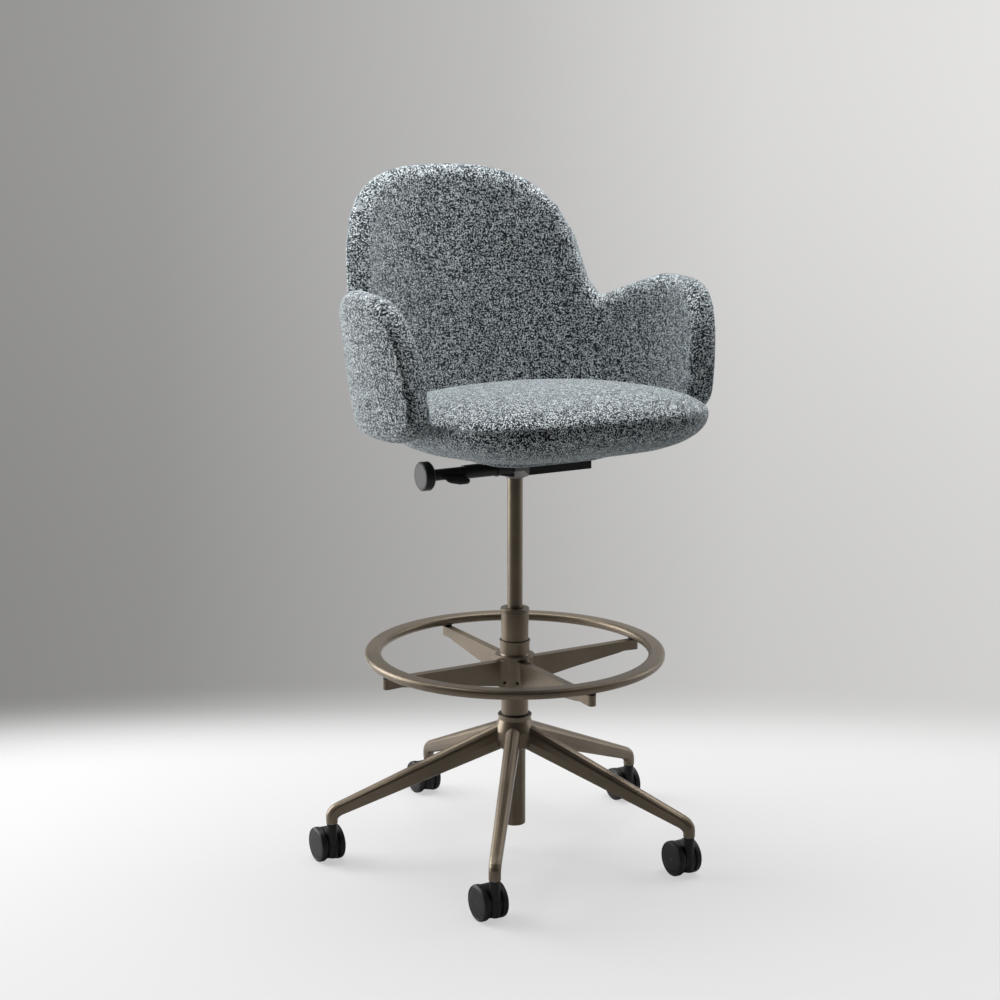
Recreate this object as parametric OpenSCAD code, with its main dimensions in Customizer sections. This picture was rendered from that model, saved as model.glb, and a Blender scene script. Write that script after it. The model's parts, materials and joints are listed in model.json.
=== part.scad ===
// Drafting armchair on a five-legged caster base, with a sliding foot ring.
// Origin on the floor under the column, +Z up, the sitter faces -Y.

/* [Star base] */
// Distance from the column to each caster stem
leg_reach = 341; // [260:1:400]
// Depth of a leg's top edge below the top of the hub, at the hub
leg_top_drop = 12.7; // [8:0.1:40]
// Rise of a leg's bottom edge above the underside of the hub, at the hub
leg_low_rise = 2.1; // [0:0.1:20]
// Width of a leg at the hub
leg_root_width = 28; // [18:0.5:40]
// Outer diameter of the caster socket at a leg's end
socket_d = 21.2; // [18:0.2:30]
// Gap between the tops of the wheels and the sockets
socket_rise = 14; // [10:0.5:30]
// Height of the underside of the hub
hub_bottom_z = 200; // [150:1:240]
// Height of the top of the hub
hub_top_z = 264; // [220:1:320]
// Wall of the hub at its widest, round the column's lower end
hub_wall = 19; // [14:0.5:30]
// Step from the column out to the hub's top collar
hub_collar_step = 5; // [3:0.5:10]

/* [Column] */
// Radius of the outer column tube
column_r = 25; // [23:0.5:32]
// Wall of the outer column tube
column_wall = 3; // [1.5:0.5:6]
// Height of the top of the column tube
column_top_z = 459; // [380:1:600]
// Step in from the column to its narrow lower end
neck_step = 5; // [3:0.5:7]
// Height of the bottom of the column above the floor
neck_bottom_z = 52; // [20:1:120]
// Radius of the gas cylinder
gas_r = 14; // [11:0.5:15.5]
// Height travel of the seat
lift_travel = 215; // [80:5:240]
// Radius of the piston rod
rod_r = 5; // [3.5:0.5:6]

/* [Foot ring] */
// Outer radius of the foot ring
ring_outer_r = 273.8; // [200:1:320]
// Radial width of the foot ring
ring_width = 30; // [15:0.5:45]
// Height of the foot ring's section
ring_height = 16; // [8:0.5:30]
// Height of the top face of the ring's arms
arm_top_z = 369; // [300:1:450]
// Thickness of each arm
arm_thick = 15; // [12:0.5:25]
// Depth of each arm at its outer end
arm_tip_depth = 19; // [14:0.5:40]
// Depth of each arm at the hub
arm_root_depth = 49; // [20:1:80]
// Gap held by the pad between an arm and the ring
pad_thick = 4; // [1:0.5:10]
// Wall of the ring's hub round its liner
spider_wall = 2.95; // [2:0.05:10]
// Width of the flange on the ring's hub
spider_flange_w = 7; // [4:0.5:12]
// Radius of the fillets between the ring's hub and its arms
spider_fillet = 12; // [6:0.5:20]
// Rise of the ring's collar above the arms
spider_collar_rise = 36; // [20:1:50]

/* [Casters] */
// Radius of the caster wheels
wheel_r = 32; // [25:0.5:50]
// Width of one caster wheel
wheel_w = 12.4; // [8:0.1:25]
// Width of the caster body between the wheels
hood_w = 20; // [18:0.5:30]
// Distance from the swivel axis back to the wheel axle
caster_trail = 22; // [16:0.5:30]
// Radius of the caster's swivel stem
stem_r = 5.5; // [4:0.25:6]

/* [Mechanism] */
// Distance of the tilt axis in front of the column
tilt_y = -38; // [-80:1:-25]
// Height of the tilt axis
tilt_z = 733.5; // [700:0.5:780]
// Wall of the housing's cross tube
cross_tube_wall = 2.2; // [2:0.05:6]
// Length of the cross tube on the control side
cross_tube_left = 128; // [110:1:134]
// Half width of the housing's centre block
housing_half_w = 40; // [34:0.5:46]
// Depth of the housing's boss below the tilt axis
boss_drop = 27.5; // [24:0.5:40]
// Rise of the housing's flat top above the tilt axis
housing_rise = 7.5; // [5:0.5:9]
// Wall of the height paddle's sleeve
sleeve_wall = 4; // [2:0.05:5]
// Length of the sleeve beyond the paddle
sleeve_tail = 21; // [14:1:30]
// Radius of the tension shaft
shaft_r = 6; // [4:0.25:8]
// Diameter of the tension knob
knob_d = 51; // [35:0.5:70]
// Thickness of the tension knob
knob_thick = 18.5; // [10:0.5:25]
// Gap between the sleeve's end and the knob
knob_gap = 7.5; // [7:0.5:25]
// Half width of the seat plate
plate_half_w = 63; // [55:1:100]
// Distance from the column to the seat plate's front lip
plate_front = 155; // [120:1:170]
// Rise of the seat plate's top face above the tilt axis
plate_rise = 23.5; // [22:0.5:40]
// Thickness of the seat plate
plate_thick = 3; // [2:0.5:4]
// Depth of the seat plate's front lip
lip_depth = 15.5; // [6:0.5:25]

/* [Seat] */
// Gap between the cushion's edge and the arms
seat_side_gap = 5.9; // [3:0.1:20]
// Narrowing of the cushion at each side, from its widest line to its front
seat_front_in = 11; // [8:0.5:25]
// Line of the cushion's greatest width
seat_mid_y = -76.9; // [-100:0.5:-50]
// Length of the cushion in front of its widest line
seat_front_len = 268; // [200:1:320]
// Gap between the cushion's edge and the back
seat_rear_gap = 6; // [4:0.1:20]
// Rise of the cushion's edge line above the seat plate
seat_edge_rise = 77.8; // [60:0.1:120]
// Height of the crown above the edge line
seat_crown = 48.8; // [20:0.5:80]
// Depth of the cushion below the edge line
seat_belly = 73; // [40:0.5:100]
// Fall of the seat towards the back, per unit
seat_slope = 0.06; // [0:0.005:0.15]
// Thickness of the cushion's fabric cover under the seat board
seat_cover = 3; // [2:0.5:8]
// Thickness of the plywood seat board
board_thick = 12; // [6:0.5:20]
// Radius of the bars that carry the shell
bar_r = 6; // [4:0.5:10]

/* [Back and arms] */
// Half width of the shell at seat height
shell_half_w = 293.9; // [240:0.1:340]
// Distance from the shell's widest line to its back
shell_back_len = 253.3; // [220:0.1:320]
// Forward length that the arms' curve is drawn with
shell_front_len = 346; // [300:1:500]
// Line of the shell's greatest width
shell_mid_y = -54.1; // [-100:0.1:-20]
// Lean of the back per unit of height
back_lean = 0.21; // [0:0.01:0.4]
// Outward lean of the arms per unit of height
arm_lean = 0.1; // [0:0.01:0.3]
// Thickness of the padded arms
arm_pad = 50; // [30:0.5:70]
// Thickness of the padded back
back_pad = 44; // [30:0.5:70]
// Rise of the back's top above the cushion's edge line
back_rise = 419.7; // [320:0.1:520]
// Rise of the arms' tops above the cushion's edge line
arm_rise = 220.1; // [150:0.1:300]
// Depth of the shell's bottom edge below the cushion's edge line
shell_drop = 30.6; // [20:0.1:60]

/* [Colours] */
// Bronze painted metal
bronze = "#6e675a"; // [#6e675a, #2b2b2b, #d0d0d0]
// Upholstery
cloth = "#7d8c92"; // [#7d8c92, #5a6064, #b8a890]
// Black plastic and black steel
black = "#1b1b1c"; // [#1b1b1c, #4a4a4a]
// Bare castings and steel
steel = "#8e9094"; // [#8e9094, #c0c0c0]

/* [Hidden] */
eps = 0.01;
run = 0.05;
leg_count = 5;
leg_turn = 360 / leg_count;
caster_at = [for (k = [0:leg_count - 1]) 90 + k * leg_turn];

// Leg outline
socket_bottom_z = 2 * wheel_r + socket_rise;
socket_r = socket_d / 2;
knee_out = leg_reach + socket_r;
knee_in = leg_reach - socket_r;
knee_top_r = knee_out - 20.5;
knee_top_z = socket_bottom_z + 38;
knee_low_r = knee_in - 14.3;
knee_low_z = socket_bottom_z + 17.5;
leg_root_r = 20;
leg_top_slope = (hub_top_z - leg_top_drop - knee_top_z) / (knee_top_r - leg_root_r);
leg_low_slope = (hub_bottom_z + leg_low_rise - knee_low_z) / (knee_low_r - leg_root_r);

// Column
neck_r = column_r - neck_step;
hub_r = neck_r + hub_wall;
hub_collar_r = column_r + hub_collar_step;
neck_wall = 4;
neck_in_r = neck_r - neck_wall;
column_in_r = column_r - column_wall;
seal_h = 1.3;
shoulder_z = hub_top_z + seal_h;
hub_lip_r = hub_collar_r + 1.4;
bush_depth = 62;
cap_rim_r = column_r + 1.5;
cap_rim_h = 4.5;
end_wall = 4;
bearing_h = 8;
bearing_r = rod_r + 7;
clip_h = 1.5;
rod_bottom_z = neck_bottom_z - 4;

// Gas cylinder and housing fit
boss_bottom_z = tilt_z - boss_drop;
housing_top_z = tilt_z + housing_rise;
gas_bottom_z = neck_bottom_z + end_wall + bearing_h + lift_travel + 21;
gas_top_z = tilt_z + 2.5;
gas_bore_r = gas_r - 2;
gas_bore_bottom = gas_bottom_z + 12;
piston_h = 12;
piston_z = gas_bore_bottom + 4;
gas_bore_top = piston_z + piston_h + lift_travel + 6;
cone_z = boss_bottom_z + 4;
cone_r = gas_r - 1;
button_r = 4;
button_up = 4;
button_len = 12;
button_top_z = gas_top_z + button_up;

// Foot ring
ring_mid_r = ring_outer_r - ring_width / 2;
ring_bottom_z = arm_top_z + pad_thick;
ring_mid_z = ring_bottom_z + ring_height / 2;
ring_round = 0.406 * ring_height;
ring_bite = 0.56 * ring_height;
arm_inset = 4.8;
arm_flat = 34;
arm_step = 14;
arm_sag = 14;
arm_reach = ring_outer_r - arm_inset;
arm_tip_r = arm_thick / 2;
arm_tip_z = arm_top_z - arm_tip_depth;
spider_bottom_z = arm_top_z - arm_root_depth;
liner_wall = 1;
liner_r = column_r + run + liner_wall;
spider_hub_r = liner_r + spider_wall;
spider_flange_r = spider_hub_r + spider_flange_w;
spider_collar_z = arm_top_z + spider_collar_rise;
flange_gap = 5.5;
flange_thick = 3.5;
flange_low_z = arm_top_z + flange_gap;
flange_top_z = flange_low_z + flange_thick;
collar_r = column_r + 2;
screw_r = 3;
screw_head_r = 5;
screw_head_h = 3.5;
screw_len = ring_bottom_z + ring_bite - arm_tip_z - screw_head_h;
grub_r = 3;
grub_at = [-112, -158];

// Caster
wheel_gap = 1.5;
caster_w = hood_w + 2 * (wheel_gap + wheel_w);
hood_r = wheel_r - 1.5;
hood_cut_z = 10;
stem_boss_r = hood_w / 2 - 0.5;
hood_top_z = socket_bottom_z - 1.5;
stem_top_z = socket_bottom_z + 22;
stem_bottom_z = wheel_r + 12;
axle_r = 3;
axle_half = caster_w / 2 - 3.5;

// Mechanism
sleeve_r = shaft_r + run + sleeve_wall;
cross_tube_r = sleeve_r + run + cross_tube_wall;

plate_top_z = tilt_z + plate_rise;
boss_r = gas_r + 2.5;
boss_flare_z = tilt_z - 5.5;
body_corner = 9;
body_back = gas_r + 6;
body_front = tilt_y - cross_tube_r - 4.5;
slot_half = 8;
finger_half = 6;
nose_r = 2.9;
nose_z = button_top_z + nose_r + 0.1;
finger_top_z = nose_z + 2;
finger_low_z = nose_z - 2;
paddle_near = cross_tube_left + 10;
paddle_far = paddle_near + 27;
sleeve_reach = paddle_far + sleeve_tail;
knob_reach = sleeve_reach + knob_gap + knob_thick;
paddle_len = 38;
paddle_drop = 11;
paddle_thick = 4.5;
cap_r = knob_d / 2 - 3;
cap_h = 2.5;
ear_r = cross_tube_r + 2;
ear_thick = 3;
ear_in = plate_half_w - ear_thick;
cross_tube_right = ear_in - 0.5;
rib_w = ear_in - 4;
rib_t = 14;
plate_back = 105;
torsion_r = 7;
web_z = plate_top_z - plate_thick;

// Seat
seat_half_w = shell_half_w - arm_pad / 2 - seat_side_gap;
seat_rear_len = shell_mid_y + shell_back_len - back_pad / 2 - seat_rear_gap - seat_mid_y;
seat_edge_z = plate_top_z + seat_edge_rise;
shell_bottom_z = seat_edge_z - shell_drop;
arm_lobe_z = seat_edge_z + arm_rise;
board_half_w = 0.468 * seat_half_w;
board_front = plate_front + 5;
board_back = plate_back - 5;
board_z = plate_top_z + seat_cover;
board_top_z = board_z + board_thick;
frame_z = seat_edge_z + 7;
bar_front_y = -130;
bar_back_y = -20;
post_x = 110;
arm_bar_end = shell_half_w + 5;
back_bar_end = shell_mid_y + shell_back_len + 8;
board_wrap = 6;
plate_screw_x = 45;
plate_screw_bite = 9;
plate_screw_y = [-115, 40];

// Shell curve
crest_blend = 10.8;
arch_foot_drop = 22.7;
shell_arch_top = seat_edge_z + back_rise - crest_blend;
shell_top_start = seat_edge_z - arch_foot_drop;
arch_half_angle = 50.55;
lobe_rise = 51.6;
lobe_low = shell_bottom_z + lobe_rise;
lobe_at = 94.15;
lobe_back_width = 71.3;
arm_end_angle = 110.69;
blend_r = 65.56;
back_power = 2.044;
arm_power = 2.151;
arm_front_power = 1.973;
foot_tuck = 5.3;
tuck_rise = 100.8;
tuck_top = shell_bottom_z + tuck_rise;
tuck_height = 110;
lean_rise = 25.8;
lean_from_z = shell_bottom_z + lean_rise;
shell_steps = 60;
loop_straight = 8;
loop_round = 7;

$fn = 64;

// ---------- shared functions ----------

function mix(a, b, t) = a + (b - a) * t;
function ramp(v, a, b) = max(0, min(1, (v - a) / (b - a)));
function bend(a, b, c, t) = (1 - t) * (1 - t) * a + 2 * t * (1 - t) * b + t * t * c;
function signed_pow(v, e) = sign(v) * pow(abs(v), e);
function reversed(v) = [for (i = [len(v) - 1:-1:0]) v[i]];

// Rounded rectangle as points, centred, width along x
function round_rect(w, h, r, n = 6) = [
    for (c = [[1, 1, 0], [-1, 1, 90], [-1, -1, 180], [1, -1, 270]])
        for (k = [0:n])
            let (a = c[2] + 90 * k / n)
            [c[0] * (w / 2 - r) + r * cos(a), c[1] * (h / 2 - r) + r * sin(a)]];

// Closed skin through loops of equal length, counter-clockwise as seen from the last loop's side
module skin(loops) {
    m = len(loops[0]);
    n = len(loops);
    pts = [for (s = loops) for (p = s) p];
    sides = [for (i = [0:n - 2]) for (j = [0:m - 1]) for (f = [0, 1])
        let (a = i * m + j, b = i * m + (j + 1) % m, c = b + m, d = a + m)
            f == 0 ? [a, c, b] : [a, d, c]];
    first = [for (j = [0:m - 1]) j];
    last = [for (j = [m - 1:-1:0]) (n - 1) * m + j];
    polyhedron(points = pts, faces = concat(sides, [first], [last]), convexity = 10);
}

// Cylinder along X between two x positions
module bar_x(x0, x1, r) {
    translate([x0, 0, 0])
        rotate([0, 90, 0])
            cylinder(h = x1 - x0, r = r);
}

// ---------- star base ----------

// Half section of a leg from bottom to top: [height share, width share]
leg_blade = [[0, 0.5], [0.04, 0.72], [0.14, 0.86], [0.42, 1],
    [0.72, 1], [0.85, 0.84], [0.94, 0.55], [1, 0.14]];
leg_round = [for (j = [0:7]) [(1 - cos((j + 0.5) * 22.5)) / 2, sin((j + 0.5) * 22.5)]];

function leg_top(r) = [r, knee_top_z + leg_top_slope * (knee_top_r - r)];
function leg_low(r) = [r, knee_low_z + leg_low_slope * (knee_low_r - r)];

function leg_loop(top, low, w, roundness) =
    let (half = [for (j = [0:7]) mix(leg_blade[j], leg_round[j], roundness)],
         side = [for (q = half) let (p = mix(low, top, q[0])) [p[0], w * q[1], p[1]]])
    concat(side, [for (p = reversed(side)) [p[0], -p[1], p[2]]]);

leg_straight = [for (t = [0, 0.2, 0.4, 0.6, 0.8, 1])
    leg_loop(leg_top(mix(leg_root_r, knee_top_r, t)), leg_low(mix(leg_root_r, knee_low_r, t)),
        mix(leg_root_width / 2, socket_r, t), 0)];
leg_knee = [for (t = [0.2:0.2:1])
    leg_loop(
        bend(leg_top(knee_top_r), leg_top(knee_out), [knee_out, socket_bottom_z + 12], t),
        bend(leg_low(knee_low_r), leg_low(knee_in), [knee_in, socket_bottom_z + 5], t),
        socket_r, t)];
leg_end = [leg_loop([knee_out, socket_bottom_z], [knee_in, socket_bottom_z], socket_r, 1)];

module leg() {
    skin(concat(leg_straight, leg_knee, leg_end));
}

module hub_body() {
    mid_z = mix(hub_bottom_z, hub_top_z, 0.45);
    rotate_extrude()
        polygon([[0, hub_bottom_z], [neck_r + 8, hub_bottom_z], [hub_r - 3, hub_bottom_z + 6],
            [hub_r, mid_z - 8], [hub_r - 1.5, mid_z + 6], [hub_collar_r + 2.5, hub_top_z - 16],
            [hub_collar_r, hub_top_z - 9], [hub_collar_r, hub_top_z - 3], [hub_lip_r, hub_top_z - 2.4],
            [hub_lip_r, hub_top_z - 0.6], [hub_lip_r - 0.6, hub_top_z], [0, hub_top_z]]);
}

module star_base() {
    color(bronze)
        difference() {
            union() {
                hub_body();
                for (a = caster_at)
                    rotate([0, 0, a])
                        leg();
            }
            translate([0, 0, hub_bottom_z - 20])
                cylinder(h = hub_top_z - hub_bottom_z + 40, r = neck_r + run);
            for (a = caster_at)
                rotate([0, 0, a])
                    translate([leg_reach, 0, socket_bottom_z - 1])
                        cylinder(h = stem_top_z - socket_bottom_z + 2, r = stem_r + run);
        }
}

module hub_ring() {
    color(black)
        translate([0, 0, hub_top_z])
            difference() {
                cylinder(h = seal_h, r = hub_collar_r - 1);
                translate([0, 0, -eps])
                    cylinder(h = shoulder_z, r = neck_r + run);
            }
}

// ---------- column ----------

module column_tube() {
    color(bronze)
        rotate_extrude()
            polygon([[rod_r + 1.5, neck_bottom_z], [neck_r - 1, neck_bottom_z], [neck_r, neck_bottom_z + 1],
                [neck_r, shoulder_z], [column_r, shoulder_z], [column_r, column_top_z],
                [column_in_r, column_top_z], [column_in_r, shoulder_z + 6], [neck_in_r, shoulder_z],
                [neck_in_r, neck_bottom_z + end_wall], [rod_r + 1.5, neck_bottom_z + end_wall]]);
}

module column_bushing() {
    color(black)
        rotate_extrude()
            polygon([[gas_r + run, column_top_z - bush_depth], [column_in_r - run, column_top_z - bush_depth],
                [column_in_r - run, column_top_z], [column_r - 0.2, column_top_z],
                [column_r - 0.2, column_top_z + seal_h], [gas_r + run, column_top_z + seal_h]]);
}

module column_cap() {
    cap_z = column_top_z + seal_h;
    color(bronze)
        rotate_extrude()
            polygon([[gas_r + 0.4, cap_z], [cap_rim_r - 0.4, cap_z], [cap_rim_r, cap_z + 0.4],
                [cap_rim_r, cap_z + cap_rim_h - 1.2], [cap_rim_r - 1.2, cap_z + cap_rim_h],
                [gas_r + 3, cap_z + cap_rim_h], [gas_r + 0.4, cap_z + cap_rim_h - 2]]);
}

module thrust_bearing() {
    color(steel)
        translate([0, 0, neck_bottom_z + end_wall])
            difference() {
                cylinder(h = bearing_h, r = bearing_r);
                translate([0, 0, -eps])
                    cylinder(h = bearing_h + 1, r = rod_r + run);
            }
}

// Spring clip that holds the rod under the column's end wall
module rod_clip() {
    color(steel)
        translate([0, 0, neck_bottom_z - clip_h - 0.3])
            difference() {
                cylinder(h = clip_h, r = rod_r + 5);
                translate([0, 0, -eps])
                    cylinder(h = clip_h + 1, r = rod_r + run);
            }
}

module caster_stems() {
    color(steel)
        for (a = caster_at)
            rotate([0, 0, a])
                translate([leg_reach, 0, 0])
                    union() {
                        translate([0, 0, stem_bottom_z])
                            cylinder(h = stem_top_z - stem_bottom_z, r = stem_r);
                        translate([0, 0, hood_top_z + 0.3])
                            cylinder(h = socket_bottom_z - hood_top_z - 0.3, r = stem_boss_r - 1);
                    }
}

module piston_rod() {
    color(steel)
        union() {
            translate([0, 0, rod_bottom_z])
                cylinder(h = piston_z - rod_bottom_z, r = rod_r);
            translate([0, 0, piston_z])
                cylinder(h = piston_h, r = gas_bore_r - run);
            translate([0, 0, neck_bottom_z + end_wall + bearing_h + run])
                cylinder(h = 3, r = rod_r + 3);
        }
}

module gas_cylinder() {
    color(bronze)
        difference() {
            union() {
                translate([0, 0, gas_bottom_z])
                    cylinder(h = cone_z - gas_bottom_z, r = gas_r);
                translate([0, 0, cone_z])
                    cylinder(h = gas_top_z - cone_z, r1 = gas_r, r2 = cone_r);
            }
            translate([0, 0, gas_bottom_z - 1])
                cylinder(h = gas_bore_bottom - gas_bottom_z + 2, r = rod_r + run);
            translate([0, 0, gas_bore_bottom])
                cylinder(h = gas_bore_top - gas_bore_bottom, r = gas_bore_r);
            translate([0, 0, gas_top_z - button_len - 3])
                cylinder(h = button_len + 4, r = button_r + run);
        }
}

module valve_button() {
    color(steel)
        translate([0, 0, button_top_z - button_len])
            cylinder(h = button_len, r = button_r);
}

// ---------- foot ring ----------

module foot_ring() {
    color(bronze)
        difference() {
            rotate_extrude()
                translate([ring_mid_r, ring_mid_z])
                    polygon(round_rect(ring_width, ring_height, ring_round));
            for (a = [0, 90, 180, 270])
                rotate([0, 0, a])
                    translate([ring_mid_r, 0, ring_bottom_z - 1])
                        cylinder(h = ring_bite + 2, r = screw_r + run);
        }
}

// Radial position of the tangent points of a fillet between an arm's side and the round hub
fillet_x = sqrt(pow(spider_hub_r + spider_fillet, 2) - pow(arm_thick / 2 + spider_fillet, 2));
fillet_turn = atan2(arm_thick / 2 + spider_fillet, fillet_x);
fillet_arc = [for (t = [0:0.125:1]) let (a = mix(-90, fillet_turn - 180, t))
    [fillet_x + spider_fillet * cos(a), arm_thick / 2 + spider_fillet + spider_fillet * sin(a)]];
hub_arc = [for (t = [0.2:0.2:0.8]) let (a = mix(fillet_turn, 90 - fillet_turn, t))
    [spider_hub_r * cos(a), spider_hub_r * sin(a)]];
hub_quarter = concat(fillet_arc, hub_arc, [for (q = reversed(fillet_arc)) [q[1], q[0]]]);
hub_plan = [for (k = [0:3]) for (q = hub_quarter)
    [q[0] * cos(90 * k) - q[1] * sin(90 * k), q[0] * sin(90 * k) + q[1] * cos(90 * k)]];

module spider_arm() {
    slope_r = arm_reach - arm_flat;
    translate([0, arm_thick / 2, 0])
        rotate([90, 0, 0])
            linear_extrude(arm_thick)
                polygon([[fillet_x - 1, arm_top_z], [arm_reach - arm_tip_r, arm_top_z],
                    [arm_reach - arm_tip_r, arm_tip_z], [slope_r, arm_tip_z + 1],
                    [slope_r - arm_step, arm_tip_z - 1.5],
                    [mix(spider_hub_r, slope_r, 0.45), arm_tip_z - arm_sag],
                    [fillet_x + 2, spider_bottom_z + 3], [fillet_x - 1, spider_bottom_z + 1]]);
    translate([arm_reach - arm_tip_r, 0, arm_tip_z])
        cylinder(h = arm_tip_depth, r = arm_tip_r);
}

module foot_spider() {
    color(bronze)
        difference() {
            union() {
                for (a = [0, 90, 180, 270])
                    rotate([0, 0, a])
                        spider_arm();
                translate([0, 0, spider_bottom_z])
                    linear_extrude(arm_root_depth)
                        polygon(hub_plan);
                rotate_extrude()
                    polygon([[liner_r - 1, arm_top_z - 2], [spider_hub_r - 0.5, arm_top_z - 2],
                        [spider_hub_r - 0.5, arm_top_z + 1], [spider_hub_r + 1, flange_low_z],
                        [spider_flange_r - 0.6, flange_low_z], [spider_flange_r, flange_low_z + 0.6],
                        [spider_flange_r, flange_top_z - 0.8], [spider_flange_r - 0.8, flange_top_z],
                        [collar_r + 1, flange_top_z], [collar_r, flange_top_z + 3],
                        [collar_r, spider_collar_z - 3.4], [collar_r + 1.4, spider_collar_z - 2.8],
                        [collar_r + 1.4, spider_collar_z - 0.6], [collar_r + 0.8, spider_collar_z],
                        [liner_r - 1, spider_collar_z]]);
            }
            translate([0, 0, spider_bottom_z - 1])
                cylinder(h = spider_collar_z, r = liner_r + run);
            for (a = [0, 90, 180, 270])
                rotate([0, 0, a])
                    translate([ring_mid_r, 0, 0]) {
                        translate([0, 0, arm_tip_z - 1])
                            cylinder(h = arm_tip_depth + 2, r = screw_r + run);
                        translate([0, 0, arm_tip_z - 1])
                            cylinder(h = screw_head_h + 2, r = screw_head_r + 0.3);
                    }
            for (a = grub_at)
                rotate([0, 0, a])
                    translate([0, 0, spider_bottom_z + 9])
                        bar_x(liner_r - 1, spider_hub_r + 5, grub_r + run);
        }
}

module ring_pads() {
    color(black)
        for (a = [0, 90, 180, 270])
            rotate([0, 0, a])
                translate([ring_mid_r, 0, arm_top_z])
                    difference() {
                        cylinder(h = pad_thick, r = 9);
                        translate([0, 0, -eps])
                            cylinder(h = pad_thick + 1, r = screw_r + run);
                    }
}

module ring_screws() {
    color(steel)
        for (a = [0, 90, 180, 270])
            rotate([0, 0, a])
                translate([ring_mid_r, 0, 0])
                    difference() {
                        union() {
                            translate([0, 0, arm_tip_z + 0.5])
                                cylinder(h = screw_head_h + 0.5, r = screw_head_r);
                            translate([0, 0, arm_tip_z + screw_head_h])
                                cylinder(h = screw_len, r = screw_r);
                        }
                        translate([0, 0, arm_tip_z - 1])
                            cylinder(h = 3.5, r = 2.3, $fn = 6);
                    }
}

// Thin plastic sleeve that the ring's hub slides on
module spider_liner() {
    color(black)
        difference() {
            translate([0, 0, spider_bottom_z])
                cylinder(h = spider_collar_z + seal_h - spider_bottom_z, r = liner_r);
            translate([0, 0, spider_bottom_z - 1])
                cylinder(h = spider_collar_z, r = column_r + run);
        }
}

module grub_screws() {
    color(black)
        for (a = grub_at)
            rotate([0, 0, a])
                translate([0, 0, spider_bottom_z + 9])
                    difference() {
                        bar_x(liner_r + 0.2, spider_hub_r - 0.3, grub_r);
                        bar_x(spider_hub_r - 2, spider_hub_r + 1, 1.5, $fn = 6);
                    }
}

// ---------- casters ----------

// Moves a caster from the origin to leg number k, always trailing towards the back
module at_caster(k) {
    translate([leg_reach * cos(caster_at[k - 1]), leg_reach * sin(caster_at[k - 1]), 0])
        children();
}

module caster_hood(k) {
    color(black)
        at_caster(k)
            difference() {
                union() {
                    intersection() {
                        translate([0, caster_trail, wheel_r])
                            bar_x(-hood_w / 2, hood_w / 2, hood_r);
                        translate([-hood_w, caster_trail - wheel_r, hood_cut_z])
                            cube([2 * hood_w, 2 * wheel_r, 2 * wheel_r]);
                    }
                    translate([0, 0, hood_cut_z + 2])
                        cylinder(h = hood_top_z - hood_cut_z - 2, r = stem_boss_r);
                }
                translate([0, 0, stem_bottom_z - 2])
                    cylinder(h = hood_top_z - stem_bottom_z + 4, r = stem_r + run);
                translate([0, caster_trail, wheel_r])
                    bar_x(-hood_w, hood_w, axle_r + run);
                translate([0, 0, hood_cut_z - 1])
                    cylinder(h = 16, r = stem_boss_r - 2.5);
                translate([0, caster_trail, wheel_r - hood_r - 1])
                    translate([-hood_w / 2 + 2.5, -14, 0])
                        cube([hood_w - 5, 34, 21]);
            }
}

module caster_axle(k) {
    color(steel)
        at_caster(k)
            translate([0, caster_trail, wheel_r])
                bar_x(-axle_half, axle_half, axle_r);
}

// Wheel about the x axis, its outer face towards +x
module wheel_solid() {
    in = caster_w / 2 - wheel_w;
    out = caster_w / 2;
    rotate([90, 0, 90])
        rotate_extrude()
            polygon([[axle_r + run, in + 0.4], [11, in + 0.4], [12, in + 3], [wheel_r - 8, in + 3],
                [wheel_r - 6, in], [wheel_r - 2.5, in], [wheel_r - 0.7, in + 0.8], [wheel_r, in + 2.6],
                [wheel_r, out - 3.4], [wheel_r - 0.8, out - 1.4],
                [wheel_r - 2.6, out - 0.4], [wheel_r - 3.6, out - 0.4],
                [wheel_r - 4.4, out - 1.1], [wheel_r - 5.2, out - 0.6], [wheel_r - 12, out - 0.1], [0, out],
                [0, out - 3], [axle_r + run, out - 3]]);
}

module caster_wheel(k, side) {
    color(black)
        at_caster(k)
            translate([0, caster_trail, wheel_r])
                rotate([0, 0, side > 0 ? 0 : 180])
                    wheel_solid();
}

// ---------- mechanism ----------

module on_tilt_axis() {
    translate([0, tilt_y, tilt_z])
        children();
}

// Outline of the housing's centre block from the top, eight corners
body_plan = [[body_corner - housing_half_w, body_front], [housing_half_w - body_corner, body_front],
    [housing_half_w, body_front + body_corner + 2], [housing_half_w, body_back - body_corner],
    [housing_half_w - body_corner, body_back], [body_corner - housing_half_w, body_back],
    [-housing_half_w, body_back - body_corner], [-housing_half_w, body_front + body_corner + 2]];
boss_plan = [for (a = [-112.5:45:202.5])
    [boss_r * cos(a), boss_r * sin(a)]];

// Gusset under the cross tube, from the housing out towards an ear
module tube_rib(side) {
    in = side * (housing_half_w - 12);
    mid = side * housing_half_w;
    out = side * rib_w;
    translate([0, tilt_y + rib_t / 2, 0])
        rotate([90, 0, 0])
            linear_extrude(rib_t)
                polygon([[in, tilt_z], [in, tilt_z - 17], [mid, tilt_z - 15],
                    [out, tilt_z - 12], [out, tilt_z]]);
}

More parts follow.
